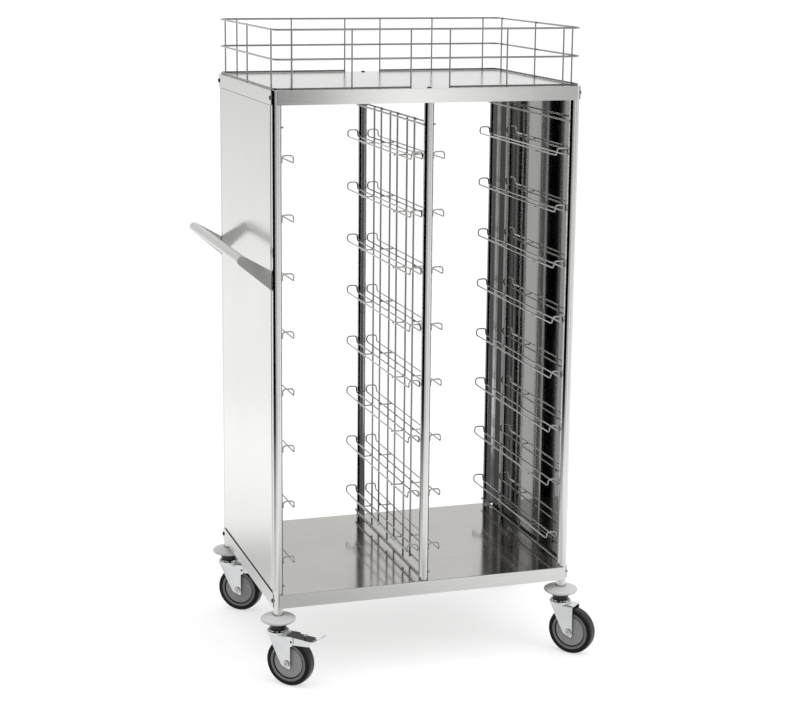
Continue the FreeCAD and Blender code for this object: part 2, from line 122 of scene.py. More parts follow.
def grain(tree, scale, stretch=(1, 1, 1), detail=4.0):
    # noise fixed to the piece; stretch draws it out along an axis
    coord = tree.nodes.new("ShaderNodeTexCoord")
    mapping = tree.nodes.new("ShaderNodeMapping")
    mapping.inputs["Scale"].default_value = stretch
    noise = tree.nodes.new("ShaderNodeTexNoise")
    noise.inputs["Scale"].default_value = scale
    noise.inputs["Detail"].default_value = detail
    tree.links.new(coord.outputs["Object"], mapping.inputs["Vector"])
    tree.links.new(mapping.outputs["Vector"], noise.inputs["Vector"])
    return noise.outputs["Fac"]


def mapped(tree, value, source, target=(0.0, 1.0), smooth=False):
    # carries a value from one span over to another
    node = tree.nodes.new("ShaderNodeMapRange")
    if smooth:
        node.interpolation_type = "SMOOTHSTEP"
    for socket, level in zip(("From Min", "From Max", "To Min", "To Max"), (*source, *target)):
        node.inputs[socket].default_value = level
    tree.links.new(value, node.inputs["Value"])
    return node.outputs["Result"]


def shades(tree, value, dark, light):
    ramp = tree.nodes.new("ShaderNodeValToRGB")
    for mark, place, tone in zip(ramp.color_ramp.elements, grainSpan, (dark, light)):
        mark.position = place
        mark.color = (*tone, 1)
    tree.links.new(value, ramp.inputs["Fac"])
    return ramp.outputs["Color"]


def addBump(tree, shader, value, strength, depth):
    bump = tree.nodes.new("ShaderNodeBump")
    bump.inputs["Strength"].default_value = strength
    bump.inputs["Distance"].default_value = depth
    tree.links.new(value, bump.inputs["Height"])
    tree.links.new(bump.outputs["Normal"], shader.inputs["Normal"])


def makeFinish(look):
    finish, tree = newFinish(look["name"])
    shader = tree.nodes["Principled BSDF"]
    fine = grain(tree, look["fine"], look.get("stretch", (1, 1, 1)))
    cloud = grain(tree, look["cloud"], detail=3.0)
    both = tree.nodes.new("ShaderNodeMix")
    both.inputs["Factor"].default_value = look.get("cloudShare", 0.5)
    tree.links.new(fine, both.inputs["A"])
    tree.links.new(cloud, both.inputs["B"])
    mixed = both.outputs["Result"]
    tree.links.new(shades(tree, mixed, look["dark"], look["light"]), shader.inputs["Base Color"])
    tree.links.new(mapped(tree, mixed, grainSpan, look["rough"]), shader.inputs["Roughness"])
    shader.inputs["Metallic"].default_value = look.get("metal", 0.0)
    shader.inputs["Specular IOR Level"].default_value = look.get("specular", 0.5)
    if "bump" in look:
        addBump(tree, shader, fine, look["bump"], look.get("depth", 0.0002))
    return finish


# tone and roughness run between two ends, by a fine grain and a broad cloud
steel = dict(metal=1.0, bump=0.03)
brushed = dict(steel, fine=420, cloud=5, cloudShare=0.45)
sheetLook = dict(brushed, name="satinSheet", dark=(0.7, 0.7, 0.685), light=(0.78, 0.78, 0.765),
                 rough=(0.12, 0.18), stretch=(1, 1, 0.03))
innerLook = dict(name="polishedSheet", dark=(0.66, 0.66, 0.64), light=(0.72, 0.72, 0.7), rough=(0.03, 0.06),
                 metal=1.0, fine=300, stretch=(1, 1, 0.05), cloud=6, cloudShare=0.6)
topLook = dict(brushed, name="satinTop", dark=(0.72, 0.72, 0.71), light=(0.8, 0.8, 0.79),
               rough=(0.16, 0.24), stretch=(0.03, 1, 1))
floorLook = dict(brushed, name="satinFloor", dark=(0.45, 0.435, 0.415), light=(0.52, 0.505, 0.485),
                 rough=(0.1, 0.15), stretch=(0.03, 1, 1))
flangeLook = dict(brushed, name="satinFlange", dark=(0.71, 0.71, 0.695), light=(0.79, 0.79, 0.775),
                  rough=(0.07, 0.11), stretch=(0.03, 0.03, 1))
postLook = dict(name="polishedTube", dark=(0.66, 0.66, 0.65), light=(0.74, 0.74, 0.73), rough=(0.09, 0.17),
                metal=1.0, fine=600, stretch=(1, 1, 0.05), cloud=9, bump=0.02)
boltLook = dict(name="boltSteel", dark=(0.3, 0.3, 0.295), light=(0.5, 0.5, 0.49), rough=(0.18, 0.3),
                metal=1.0, fine=700, cloud=140)
leverLook = dict(steel, name="leverSteel", dark=(0.6, 0.6, 0.59), light=(0.74, 0.74, 0.73),
                 rough=(0.12, 0.22), fine=600, stretch=(1, 1, 0.2), cloud=70)
# painted shade: the wire tone is set well below bright steel, standing in for the dark surroundings the wires
# reflect; the tray supports get a lighter copy
wireLook = dict(name="brightWire", dark=(0.31, 0.31, 0.3), light=(0.41, 0.41, 0.4), rough=(0.1, 0.2),
                metal=1.0, fine=900, cloud=30)
supportLook = dict(wireLook, name="supportWire", dark=(0.44, 0.44, 0.43), light=(0.55, 0.55, 0.54))
# painted shade: a darker copy of the wire tone for the gallery's lower wires, standing in for their shadow
# and reflection where they lie on the deck
shadedLowerLook = dict(wireLook, name="shadedLowerWire", dark=(0.16, 0.16, 0.155), light=(0.23, 0.23, 0.225))
weldLook = dict(name="weldBead", dark=(0.2, 0.19, 0.18), light=(0.42, 0.41, 0.39), rough=(0.3, 0.5),
                metal=1.0, fine=900, cloud=120, bump=0.3, depth=0.0004)
handleLook = dict(steel, name="satinTube", dark=(0.68, 0.68, 0.665), light=(0.76, 0.76, 0.745),
                  rough=(0.28, 0.38), fine=700, stretch=(1, 0.04, 1), cloud=12)
plateLook = dict(steel, name="satinPlate", dark=(0.64, 0.64, 0.63), light=(0.71, 0.71, 0.7),
                 rough=(0.05, 0.09), fine=700, stretch=(0.06, 1, 1), cloud=20)
screwLook = dict(name="darkScrewAndPanelShade", dark=(0.02, 0.02, 0.02), light=(0.045, 0.045, 0.045), rough=(0.4, 0.55),
                 specular=0.05, fine=1500, cloud=200)
bumperLook = dict(name="bumperPlastic", dark=(0.61, 0.61, 0.605), light=(0.67, 0.67, 0.665),
                  rough=(0.38, 0.5), fine=1600, cloud=14, bump=0.05)
zincLook = dict(steel, name="zincPlate", dark=(0.63, 0.66, 0.66), light=(0.78, 0.8, 0.8), rough=(0.08, 0.18),
                fine=500, cloud=26)
stemLook = dict(name="oiledStem", dark=(0.012, 0.012, 0.013), light=(0.03, 0.03, 0.03), rough=(0.25, 0.4),
                metal=0.4, fine=900, cloud=90)
# painted shade: near black on the pedal's top faces, standing in for the shade in the pedal's hollow
pedalLook = dict(name="pedalTopShade", dark=(0.012, 0.012, 0.012), light=(0.03, 0.03, 0.03), rough=(0.14, 0.24),
                 fine=700, cloud=50, bump=0.04)
hubLook = dict(name="hubPlastic", dark=(0.26, 0.26, 0.257), light=(0.32, 0.32, 0.316), rough=(0.4, 0.52),
               fine=1800, cloud=40, bump=0.06)
rimLook = dict(name="hubRim", dark=(0.13, 0.13, 0.13), light=(0.18, 0.18, 0.18), rough=(0.36, 0.48),
               fine=1800, cloud=40, bump=0.05)
tyreLook = dict(name="tyreRubber", dark=(0.008, 0.008, 0.008), light=(0.02, 0.02, 0.02), rough=(0.42, 0.6),
                specular=0.1, fine=1500, cloud=60, bump=0.08)
treadLook = dict(name="treadRubber", dark=(0.014, 0.014, 0.014), light=(0.034, 0.034, 0.033),
                 rough=(0.24, 0.38), specular=0.3, fine=900, cloud=50, bump=0.12, depth=0.0003)
looks = (sheetLook, innerLook, topLook, floorLook, flangeLook, postLook, boltLook, leverLook, wireLook,
         supportLook, shadedLowerLook, weldLook, handleLook, plateLook, screwLook, bumperLook, zincLook, stemLook,
         pedalLook, hubLook, rimLook, tyreLook, treadLook)
finishes = {look["name"]: makeFinish(look) for look in looks}
print("finishes made:", len(finishes))


def vertsOf(geom):
    return [g for g in geom if isinstance(g, bmesh.types.BMVert)]


def edgesOf(geom):
    return [g for g in geom if isinstance(g, bmesh.types.BMEdge)]


def roundEdges(bm, edges, offset, segments=3):
    bmesh.ops.bevel(bm, geom=edges, offset=offset, offset_type="OFFSET", segments=segments, profile=0.5,
                    affect="EDGES", clamp_overlap=True, material=-1)


def roundCorners(bm, verts, offset, segments=5):
    bmesh.ops.bevel(bm, geom=verts, offset=offset, offset_type="OFFSET", segments=segments, profile=0.5,
                    affect="VERTICES", clamp_overlap=True, material=-1)


def sharpEdges(bm, degrees=30):
    limit = math.radians(degrees)
    return [e for e in bm.edges if len(e.link_faces) == 2 and e.calc_face_angle() > limit]


def pushRing(bm, edges, step):
    grown = bmesh.ops.extrude_edge_only(bm, edges=edges)["geom"]
    bmesh.ops.translate(bm, verts=vertsOf(grown), vec=step)
    return [e for e in edgesOf(grown) if e.is_boundary]


def pullSheet(bm, points, step):
    # draws a line of points out into a sheet
    verts = [bm.verts.new(point) for point in points]
    pushRing(bm, [bm.edges.new(pair) for pair in zip(verts, verts[1:])], step)


def sweepWire(bm, path, radius, bend=0.0, closed=False, sides=12, steps=5, rounding=0.35):
    # a round wire along straight runs joined by bends
    points = [Vector(p) for p in path]
    if closed:
        start = (points[0] + points[1]) / 2
        turns = points[1:] + points[:1]
        stop = start
    else:
        start, turns, stop = points[0], points[1:-1], points[-1]
    heading = ((turns + [stop])[0] - start).normalized()
    spot = Matrix.Translation(start) @ heading.to_track_quat("Z", "Y").to_matrix().to_4x4()
    ring = bmesh.ops.create_circle(bm, segments=sides, radius=radius, cap_ends=False, matrix=spot)["verts"]
    first = list({e for v in ring for e in v.link_edges})
    edges = first
    here = start
    for i, corner in enumerate(turns):
        onward = ((turns + [stop])[i + 1] - corner).normalized()
        angle = heading.angle(onward)
        reach = bend * math.tan(angle / 2)
        edges = pushRing(bm, edges, corner - heading * reach - here)
        axis = heading.cross(onward).normalized()
        centre = corner - heading * reach + axis.cross(heading) * bend
        verts = list({v for e in edges for v in e.verts})
        spun = bmesh.ops.spin(bm, geom=verts + edges, cent=centre, axis=axis, angle=angle, steps=steps,
                              use_duplicate=False)
        edges = edgesOf(spun["geom_last"])
        here = corner + onward * reach
        heading = onward
    last = pushRing(bm, edges, stop - here)
    if not closed:
        for end in (first, last):
            bmesh.ops.edgeloop_fill(bm, edges=end)
        roundEdges(bm, first + last, radius * rounding, 2)


def lathe(bm, profile, steps=48, closed=False, rounding=0.0, limit=25, segments=3):
    # turns (radius, height) points round the Z axis
    verts = [bm.verts.new((r, 0, z)) for r, z in profile]
    pairs = list(zip(verts, verts[1:]))
    if closed:
        pairs.append((verts[-1], verts[0]))
    edges = [bm.edges.new(pair) for pair in pairs]
    bmesh.ops.spin(bm, geom=verts + edges, cent=(0, 0, 0), axis=(0, 0, 1), angle=2 * math.pi, steps=steps,
                   use_merge=True, use_duplicate=False)
    bmesh.ops.remove_doubles(bm, verts=bm.verts, dist=1e-4)
    bmesh.ops.recalc_face_normals(bm, faces=bm.faces)
    if rounding:
        roundEdges(bm, sharpEdges(bm, limit), rounding, segments)


def tube(radius, wall, low, high, edge):
    # an open tube along the Z axis
    bore = radius - wall
    bm = bmesh.new()
    section = [(radius, low), (radius, high), (bore, high), (bore, low)]
    lathe(bm, section, closed=True, rounding=edge, segments=2)
    return bm


def arcVerts(bm, seed, centre, axis, angle, steps):
    # the seed vertex and the ones that it leaves behind on its way round
    start = len(bm.verts)
    verts = [bm.verts.new(seed)]
    bmesh.ops.spin(bm, geom=verts, cent=centre, axis=axis, angle=angle, steps=steps, use_duplicate=False)
    bm.verts.ensure_lookup_table()
    return bm.verts[start:]


def faceArea(face):
    return face.calc_area()


def faceHeight(face):
    return face.calc_center_median().z


def faceRadius(face):
    return face.calc_center_median().to_2d().length


def faceTo(bm, measure, toward):
    # turns a sheet's faces so that the one with the largest measure looks the given way
    bmesh.ops.recalc_face_normals(bm, faces=bm.faces)
    if max(bm.faces, key=measure).normal.dot(Vector(toward)) < 0:
        bmesh.ops.reverse_faces(bm, faces=bm.faces)


def thicken(bm, thickness):
    # to the inner side of the faces
    bmesh.ops.solidify(bm, geom=bm.faces[:], thickness=thickness)


def pattern(bm, finishIndex=0):
    # a finished shape kept as a mesh, to be stamped several times
    bmesh.ops.recalc_face_normals(bm, faces=bm.faces)
    for face in bm.faces:
        face.material_index += finishIndex
    mesh = bpy.data.meshes.new("pattern")
    bm.to_mesh(mesh)
    bm.free()
    return mesh


def stamp(bm, shape, matrix):
    # adds a copy of a shape, moved by the matrix
    copy = bmesh.new()
    copy.from_mesh(shape)
    bmesh.ops.transform(copy, matrix=matrix, verts=copy.verts)
    moved = pattern(copy)
    bm.from_mesh(moved)
    bpy.data.meshes.remove(moved)


def blockShape(size, rounding=0.0, segments=2, finishIndex=0):
    bm = bmesh.new()
    bmesh.ops.create_cube(bm, size=1.0)
    bmesh.ops.scale(bm, verts=bm.verts, vec=size)
    if rounding:
        roundEdges(bm, bm.edges[:], rounding, segments)
    return pattern(bm, finishIndex)


def beadShape(radius):
    # a small round weld bead
    bm = bmesh.new()
    bmesh.ops.create_uvsphere(bm, u_segments=8, v_segments=5, radius=radius)
    return pattern(bm, 1)


def stampBead(bm, bead, spot, flat):
    # flat squeezes the bead where it wets the metal
    stamp(bm, bead, Matrix.Translation(spot) @ Matrix.Diagonal((*flat, 1)))


def addPiece(name, bm, looksOn, body, replaced, place=onTrolley, sharp=32):
    # bm is in millimetres; the piece gets its place in the mesh
    bmesh.ops.remove_doubles(bm, verts=bm.verts, dist=1e-4)
    bmesh.ops.recalc_face_normals(bm, faces=bm.faces)
    bmesh.ops.transform(bm, matrix=place @ Matrix.Scale(mm, 4), verts=bm.verts)
    mesh = bpy.data.meshes.new(name)
    bm.to_mesh(mesh)
    bm.free()
    for look in looksOn:
        mesh.materials.append(finishes[look])
    mesh.shade_smooth()
    mesh.set_sharp_from_angle(angle=math.radians(sharp))
    piece = bpy.data.objects.new(name, mesh)
    even = piece.modifiers.new("evenShade", "WEIGHTED_NORMAL")      # broad faces shade flat up to their folds
    even.keep_sharp = True
    scene.collection.objects.link(piece)
    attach(piece, body)
    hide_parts(*replaced)
    return piece


def addFramePiece(name, bm, looksOn, node, sharp=32):
    addPiece(name, bm, looksOn, "frame", (node,), sharp=sharp)


def addCasterPiece(name, corner, bm, looksOn, body, node, sharp=32):
    addPiece(name + "." + corner, bm, looksOn, body + "_" + corner, (node + "_" + corner,),
             casterPlace(corner), sharp)


gridWork = dict(wire=5.0, railInset=0.38, endInset=5.0, bead=2.6, atUpright=(0.75, 1.1, 1.1),
                atPost=(0.6, 1.5, 1.0))
supportWork = dict(wire=4.0, bend=8.0, arch=18.0, crossLift=0.4, levels=8, pitchY=140.0, bead=2.1,
                   atUpright=(0.7, 1.1, 1.1), atCross=(1.1, 1.1, 0.6))


def inwardOf(row):
    # the side of a grid on which the trays slide
    return 1 if row in ("left", "centre_right") else -1


def addGrid(row):
    w = gridWork
    low, high = boxOf("grid_" + row)
    inward = inwardOf(row)
    radius = w["wire"] / 2
    inset = radius + w["railInset"]
    railX = high.x - inset if inward > 0 else low.x + inset
    uprightX = railX - inward * (w["wire"] + weldGap)
    railsZ = (low.z + w["endInset"], high.z - w["endInset"])
    uprightsY = [k * supportWork["pitchY"] for k in (-1, 0, 1)]
    bead = beadShape(w["bead"])
    bm = bmesh.new()
    for z in railsZ:
        sweepWire(bm, [(railX, low.y, z), (railX, high.y, z)], radius)
    for y in uprightsY:
        sweepWire(bm, [(uprightX, y, low.z), (uprightX, y, high.z)], radius)
    for z in railsZ:
        for y in uprightsY:
            stampBead(bm, bead, ((railX + uprightX) / 2, y, z), w["atUpright"])
        for y in (postAt["front_left"].y, postAt["rear_left"].y):
            stampBead(bm, bead, (railX - inward * radius, y, z), w["atPost"])
    addFramePiece("grid.wires." + row, bm, ("brightWire", "weldBead"), "grid_" + row)


def addSupports(row):
    w = supportWork
    low, high = boxOf("tray_supports_" + row)
    inward = inwardOf(row)
    radius = w["wire"] / 2
    side = radius / math.cos(math.pi / 6)      # corner of the solid's six-sided wire
    inner, outer = (low.x + radius, high.x - radius)[::inward]
    half = high.y - side
    drop = side + radius + weldGap
    first = low.z + radius + drop
    pitch = (high.z - side - w["arch"] - first) / (w["levels"] - 1)
    levels = [first + k * pitch for k in range(w["levels"])]
    crossesY = (-w["pitchY"], w["pitchY"])
    bead = beadShape(w["bead"])
    bm = bmesh.new()
    for z in levels:
        top = z + w["arch"]
        path = [(inner, -half, z), (inner, half, z), (inner, half, top), (outer, half, top),
                (outer, half, z), (outer, -half, z), (outer, -half, top), (inner, -half, top)]
        sweepWire(bm, path, radius, w["bend"], closed=True, sides=8, steps=4)
        crossZ = z - drop + w["crossLift"]
        for y in crossesY:
            cross = [(inner - inward * radius, y, crossZ), (outer + inward * radius, y, crossZ)]
            sweepWire(bm, cross, radius, sides=8)
    for z in levels:
        for k in (-1, 0, 1):
            stampBead(bm, bead, (inner - inward * radius, k * w["pitchY"], z), w["atUpright"])
        for y in crossesY:
            for x in (inner, outer):
                stampBead(bm, bead, (x, y, z - radius), w["atCross"])
    addFramePiece("tray.supports." + row, bm, ("supportWire", "weldBead"), "tray_supports_" + row)


for row in rows:
    addGrid(row)
    addSupports(row)
print("grids and tray supports made")

gallery = dict(rail=5.0, upright=4.0, bend=20.0, breakWidth=100.0, cornerInset=45.0, bead=2.4,
               atRail=(0.6, 1.0, 1.1))


def galleryRail(name, node):
    low, high = boxOf(node)
    side = gallery["rail"] / 2
    x, y, z = high.x - side, high.y - side, (low.z + high.z) / 2
    bm = bmesh.new()
    path = [(-x, -y, z), (x, -y, z), (x, y, z), (-x, y, z)]
    sweepWire(bm, path, side, gallery["bend"], closed=True, steps=9)
    addFramePiece(name, bm, ("brightWire",), node)
    return x, y, z


railX, railY, topZ = galleryRail("gallery.rail.top", "gallery_top_rail")
middleZ = galleryRail("gallery.rail.middle", "gallery_middle_rail")[2]


def galleryLower():
    z = middleOf("gallery_lower_wires").z
    bm = bmesh.new()
    for s in (-1, 1):
        breakX = s * gallery["breakWidth"] / 2
        path = [(breakX, -railY, z), (s * railX, -railY, z), (s * railX, railY, z), (breakX, railY, z)]
        sweepWire(bm, path, gallery["rail"] / 2, gallery["bend"], steps=9)
    addFramePiece("gallery.wires.lower", bm, ("shadedLowerWire",), "gallery_lower_wires")
    return z


def galleryUprights(lowerZ):
    low, high = boxOf("gallery_uprights")
    radius = gallery["upright"] / 2
    inset = gallery["rail"] / 2 + radius + weldGap
    lastX = railX - gallery["cornerInset"]
    lastY = railY - gallery["cornerInset"]
    firstX = gallery["breakWidth"] / 2
    spots = []
    for y, out in ((-railY + inset, (0, -1)), (railY - inset, (0, 1))):
        for x in (firstX, (firstX + lastX) / 2, lastX):
            spots += [(x, y, out), (-x, y, out)]
    for x, out in ((-railX + inset, (-1, 0)), (railX - inset, (1, 0))):
        spots += [(x, y, out) for y in (-lastY, 0, lastY)]
    thin, wide, tall = gallery["atRail"]
    bead = beadShape(gallery["bead"])
    bm = bmesh.new()
    for x, y, out in spots:
        sweepWire(bm, [(x, y, low.z), (x, y, high.z)], radius)
    for x, y, out in spots:
        flat = (thin, wide, tall) if out[0] else (wide, thin, tall)
        for z in (topZ, middleZ, lowerZ):
            stampBead(bm, bead, (x + out[0] * radius, y + out[1] * radius, z), flat)
    addFramePiece("gallery.uprights", bm, ("brightWire", "weldBead"), "gallery_uprights")


galleryUprights(galleryLower())
print("gallery made")

deckWork = dict(sheet=1.5, fold=2.0, cornerRadius=14.0, drop=35.0, holeGap=0.3, longEdge=300.0)


def finishDeck(bm, name, node, looksOn):
    # folds the long edges of a sheet down and thickens it
    edges = [e for e in bm.edges if e.calc_length() > deckWork["longEdge"]]
    pushRing(bm, edges, (0, 0, -deckWork["drop"]))
    roundEdges(bm, edges, deckWork["fold"], 4)
    for face in bm.faces:
        face.material_index = 0 if abs(face.normal.z) > levelFrom else 1
    bmesh.ops.recalc_face_normals(bm, faces=bm.faces)
    thicken(bm, deckWork["sheet"])
    addFramePiece(name, bm, looksOn, node)


def addTopDeck():
    bm = bmesh.new()
    plan = ((-1, -1), (1, -1), (1, 1), (-1, 1))
    bm.faces.new([bm.verts.new((x * halfWidth, y * halfDepth, deckTop)) for x, y in plan])
    roundCorners(bm, bm.verts[:], deckWork["cornerRadius"], 6)
    bm.normal_update()
    finishDeck(bm, "deck.top", "top_deck", ("satinTop", "satinFlange"))


def addBottomDeck():
    # each corner is cut out square at the folds and round at the post
    radius = postRadius + deckWork["holeGap"]
    notch = deckWork["cornerRadius"]
    bm = bmesh.new()
    outline = []
    for corner in ("front_left", "front_right", "rear_right", "rear_left"):
        post = Vector((postAt[corner].x, postAt[corner].y, 0))
        frontEnd = Vector((math.copysign(halfWidth - notch, post.x), math.copysign(halfDepth, post.y), 0))
        sideEnd = Vector((math.copysign(halfWidth, post.x), math.copysign(halfDepth - notch, post.y), 0))
        rise = math.sqrt(radius ** 2 - (frontEnd.x - post.x) ** 2)
        run = math.sqrt(radius ** 2 - (sideEnd.y - post.y) ** 2)
        cut = [sideEnd, Vector((post.x + math.copysign(run, post.x), sideEnd.y, 0)),
               Vector((frontEnd.x, post.y + math.copysign(rise, post.y), 0)), frontEnd]
        if corner in ("front_right", "rear_left"):
            cut.reverse()
        begin, first, last, end = cut
        sweep = math.atan2(last.y - post.y, last.x - post.x) - math.atan2(first.y - post.y, first.x - post.x)
        sweep = sweep % (2 * math.pi) - 2 * math.pi
        outline.append(bm.verts.new(begin))
        outline += arcVerts(bm, first, post, (0, 0, 1), sweep, 20)
        outline.append(bm.verts.new(end))
    sheet = bm.faces.new(outline)
    bmesh.ops.translate(bm, verts=bm.verts, vec=(0, 0, floorTop))
    bm.normal_update()
    if sheet.normal.z < 0:
        sheet.normal_flip()
    finishDeck(bm, "deck.bottom", "bottom_deck", ("satinFloor", "satinFlange"))


addTopDeck()
addBottomDeck()

panelWork = dict(sheet=1.2, fold=2.2, innerFrom=-0.3, shadeGapHigh=3.6, shadeStripDeep=1.6, shadeStripThick=1.0,
                 shadeStripShort=12.0, shadeStripLap=2.0, shadeStripGap=0.1, shadeStripEdge=0.2, shadeLineHigh=2.0,
                 shadeLineThick=0.4, shadeLineShort=6.0, shadeLineDeep=0.1, shadeLineLap=0.3)


def addPanel(side):
    w = panelWork
    low, high = boxOf("side_panel_" + side)
    out = -1 if side == "left" else 1
    back, face = (low.x, high.x)[::out]
    foot = low.z + w["shadeGapHigh"]
    plan = ((back, low.y), (face, low.y), (face, high.y), (back, high.y))
    bm = bmesh.new()
    pullSheet(bm, [(x, y, foot) for x, y in plan], (0, 0, high.z - foot))
    roundEdges(bm, sharpEdges(bm), w["fold"], 4)
    faceTo(bm, faceArea, (out, 0, 0))
    thicken(bm, w["sheet"])
    bm.normal_update()
    for f in bm.faces:
        f.material_index = 1 if f.normal.x * out < w["innerFrom"] else 0
    # painted shade: a dark strip behind the gap above the floor's flange and a dark line under the top deck's
    # flange stand in for the shadow there
    middleY, depth = (low.y + high.y) / 2, high.y - low.y
    footZ = floorTop + w["shadeStripGap"]
    rise = foot + w["shadeStripLap"] - footZ
    shadeStrip = blockShape((w["shadeStripThick"], depth - w["shadeStripShort"], rise), w["shadeStripEdge"], finishIndex=2)
    inside = face - out * (w["shadeStripDeep"] + w["shadeStripThick"] / 2)
    stamp(bm, shadeStrip, moveBy(inside, middleY, footZ + rise / 2))
    # painted shade: the dark line under the top deck's flange stands in for the flange's shadow on the panel
    line = blockShape((w["shadeLineThick"], depth - w["shadeLineShort"], w["shadeLineHigh"]), finishIndex=2)
    shadeLineZ = deckTop - deckWork["drop"] - w["shadeLineHigh"] / 2 + w["shadeLineLap"]
    stamp(bm, line, moveBy(face - out * w["shadeLineDeep"], middleY, shadeLineZ))
    addFramePiece("panel." + side, bm, ("satinSheet", "polishedSheet", "darkScrewAndPanelShade"), "side_panel_" + side)


addPanel("left")
addPanel("right")

postWork = dict(wall=1.5, edge=0.4)


def addPost(node, name):
    low, high = boxOf(node)
    centre = middleOf(node)
    bm = tube((high.x - low.x) / 2, postWork["wall"], low.z, high.z, postWork["edge"])
    bmesh.ops.translate(bm, verts=bm.verts, vec=(centre.x, centre.y, 0))
    addFramePiece(name, bm, ("polishedTube",), node)


for corner in corners:
    addPost("corner_post_" + corner, "post." + corner)
for end in ends:
    addPost("centre_post_" + end, "post.centre." + end)
print("decks, panels and posts made")

handleWork = dict(wall=1.5, edge=0.5, plateEdge=0.7, plateFoot=50.0, bead=3.0, beadInset=0.5, beadFlat=0.5)


def addHandleTube():
    low, high = boxOf("handle_tube")
    radius = (high.z - low.z) / 2
    centre = Vector(((low.x + high.x) / 2, 0, (low.z + high.z) / 2))
    bm = tube(radius, handleWork["wall"], low.y, high.y, handleWork["edge"])
    bmesh.ops.transform(bm, matrix=Matrix.Translation(centre) @ turnBy(-quarter, "X"), verts=bm.verts)
    addFramePiece("handle.tube", bm, ("satinTube",), "handle_tube")
    return centre, radius


def addBracket(end, centre, radius):
    w = handleWork
    node = "handle_bracket_" + end
    low, high = boxOf(node)
    footX = high.x
    footLow, footHigh = low.z, low.z + w["plateFoot"]
    bm = bmesh.new()

    def touch(z, side):
        # bearing of the point where a line from the foot meets the rounded end
        dx, dz = footX - centre.x, z - centre.z
        return math.atan2(dz, dx) + side * math.acos(radius / math.hypot(dx, dz))

    upper, lower = touch(footHigh, 1), touch(footLow, -1)
    seed = (centre.x + radius * math.cos(upper), low.y, centre.z + radius * math.sin(upper))
    sweep = (lower - upper) % (2 * math.pi)
    order = arcVerts(bm, seed, (centre.x, low.y, centre.z), (0, -1, 0), sweep, 18)
    foot = [bm.verts.new((footX, low.y, z)) for z in (footLow, footHigh)]
    face = bm.faces.new(list(order) + foot)
    grown = bmesh.ops.extrude_face_region(bm, geom=[face])["geom"]
    bmesh.ops.translate(bm, verts=vertsOf(grown), vec=(0, high.y - low.y, 0))
    bmesh.ops.recalc_face_normals(bm, faces=bm.faces)
    roundEdges(bm, sharpEdges(bm), w["plateEdge"], 2)
    bead = beadShape(w["bead"])
    flat = (w["beadFlat"], w["beadFlat"], w["plateFoot"] / 2 / w["bead"])
    for y in (low.y, high.y):
        stampBead(bm, bead, (footX - w["beadInset"], y, (footLow + footHigh) / 2), flat)
    addFramePiece("handle.bracket." + end, bm, ("satinPlate", "weldBead"), node)


handleAt, handleRadius = addHandleTube()
for end in ends:
    addBracket(end, handleAt, handleRadius)
print("handle made")

# the dome is in shares of the head's radius and height
screwWork = dict(radius=5.5, height=2.5, dome=((1, 0), (1, 0.45), (0.86, 0.8), (0.62, 1)), socket=2.3,
                 socketDeep=1.4, edge=0.2)


def screwShape():
    w = screwWork
    deep = w["height"] - w["socketDeep"]
    head = [(w["radius"] * r, w["height"] * z) for r, z in w["dome"]]
    bm = bmesh.new()
    lathe(bm, [(0, 0), *head, (w["socket"], w["height"]), (w["socket"], deep), (0, deep)], 24,
          rounding=w["edge"], limit=40, segments=2)
    return pattern(bm)


def addScrews():
    shape = screwShape()
    bm = bmesh.new()
    for corner in corners:
        out = math.copysign(1, postAt[corner].x)
        for top in (deckTop, floorTop):
            spot = moveBy(out * halfWidth, postAt[corner].y, top - deckWork["drop"] / 2)
            stamp(bm, shape, spot @ turnBy(out * quarter, "Y"))
    addFramePiece("screws.flange", bm, ("darkScrewAndPanelShade",), "deck_screws")
    bm = bmesh.new()
    for end in ends:
        y = middleOf("centre_post_" + end).y
        stamp(bm, shape, moveBy(0, y, deckTop))
        stamp(bm, shape, moveBy(0, y, floorTop - deckWork["sheet"]) @ turnBy(math.pi, "X"))
    addFramePiece("screws.centre", bm, ("darkScrewAndPanelShade",), "centre_screws")


addScrews()
print("screws made")


def atCorners(shape):
    bm = bmesh.new()
    for corner in corners:
        stamp(bm, shape, moveBy(postAt[corner].x, postAt[corner].y, 0))
    return bm


bumperWork = dict(profile=((11.2, 162.0), (37.0, 162.0), (42.0, 164.6), (44.4, 167.2), (45.0, 169.4),
                           (44.3, 171.6), (41.6, 173.7), (37.0, 175.5), (30.0, 177.4), (22.0, 179.1),
                           (16.2, 179.9), (15.2, 179.9), (14.4, 179.2), (14.0, 177.9), (11.2, 177.9)))


def addBumpers():
    reach = boxOf("bumper_discs")[1].y - postAt["rear_left"].y
    stretch = reach / max(r for r, z in bumperWork["profile"])
    bm = bmesh.new()
    lathe(bm, [(r * stretch, z) for r, z in bumperWork["profile"]], 64, closed=True)
    addFramePiece("bumpers", atCorners(pattern(bm)), ("bumperPlastic",), "bumper_discs", 40)


stemWork = dict(profile=((0, 126.6), (9.6, 126.6), (9.6, 130.2), (5.9, 130.2), (5.9, 140.4), (17.0, 140.4),
                         (20.6, 141.8), (20.6, 143.4), (18.6, 144.6), (18.6, 148.0), (20.8, 149.0),
                         (21.8, 152.0), (21.8, 160.5), (20.6, 162.0), (10.9, 162.0), (10.9, 200.0),
                         (0, 200.0)),
                balls=13, ball=2.3, ballRing=23.4, ballHeight=141.2)


def addStems():
    w = stemWork
    bm = bmesh.new()
    lathe(bm, w["profile"], 40)
    ball = bmesh.new()
    bmesh.ops.create_uvsphere(ball, u_segments=12, v_segments=8, radius=w["ball"])
    ballShape = pattern(ball, 1)
    for k in range(w["balls"]):
        a = 2 * math.pi * k / w["balls"]
        x, y = w["ballRing"] * math.cos(a), w["ballRing"] * math.sin(a)
        stamp(bm, ballShape, moveBy(x, y, w["ballHeight"]))
    addFramePiece("stems", atCorners(pattern(bm)), ("oiledStem", "zincPlate"), "caster_stems",
                  35)


addBumpers()
addStems()

